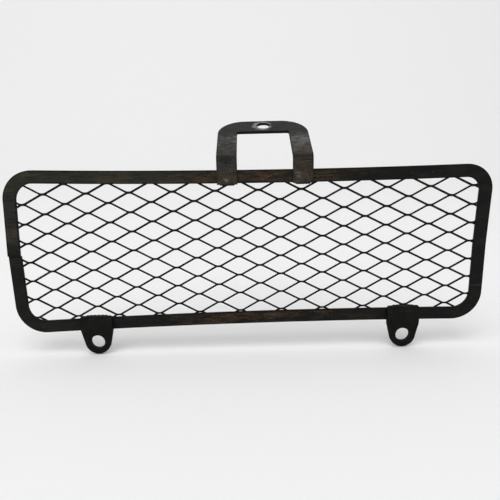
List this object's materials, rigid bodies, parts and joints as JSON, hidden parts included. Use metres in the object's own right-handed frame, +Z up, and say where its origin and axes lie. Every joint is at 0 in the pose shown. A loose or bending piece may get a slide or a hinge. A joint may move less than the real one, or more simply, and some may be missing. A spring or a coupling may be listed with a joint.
{
  "type": "front grille guard",
  "caption": "Small welded grille guard: rounded strip rim, expanded-metal screen behind it, bent top bracket with a bolt hole, and two drilled bottom tabs.",
  "frame": {"origin": "midway between the two bottom tab holes, on the tabs' back faces", "axes": "+X to the right seen from the front, +Y towards the vehicle, +Z up; the bottom bolts run along Y"},
  "size_m": [0.2386, 0.037, 0.115],
  "materials": {
    "rim_paint": "worn satin black over steel, rust tinted along the long sides",
    "screen_paint": "satin black",
    "bracket_steel": "worn dark grey, brown heat marks at the feet",
    "tab_paint": "satin black",
    "weld_metal": "matt, painted over"
  },
  "bodies": {
    "root": {"rim_upper": "rim_paint", "rim_lower": "rim_paint", "screen": "screen_paint", "top_bracket": "bracket_steel", "tab_left": "tab_paint", "tab_right": "tab_paint", "weld_foot_left": "weld_metal", "weld_foot_right": "weld_metal", "weld_tab_left": "weld_metal", "weld_tab_right": "weld_metal"}
  },
  "joints": []
}
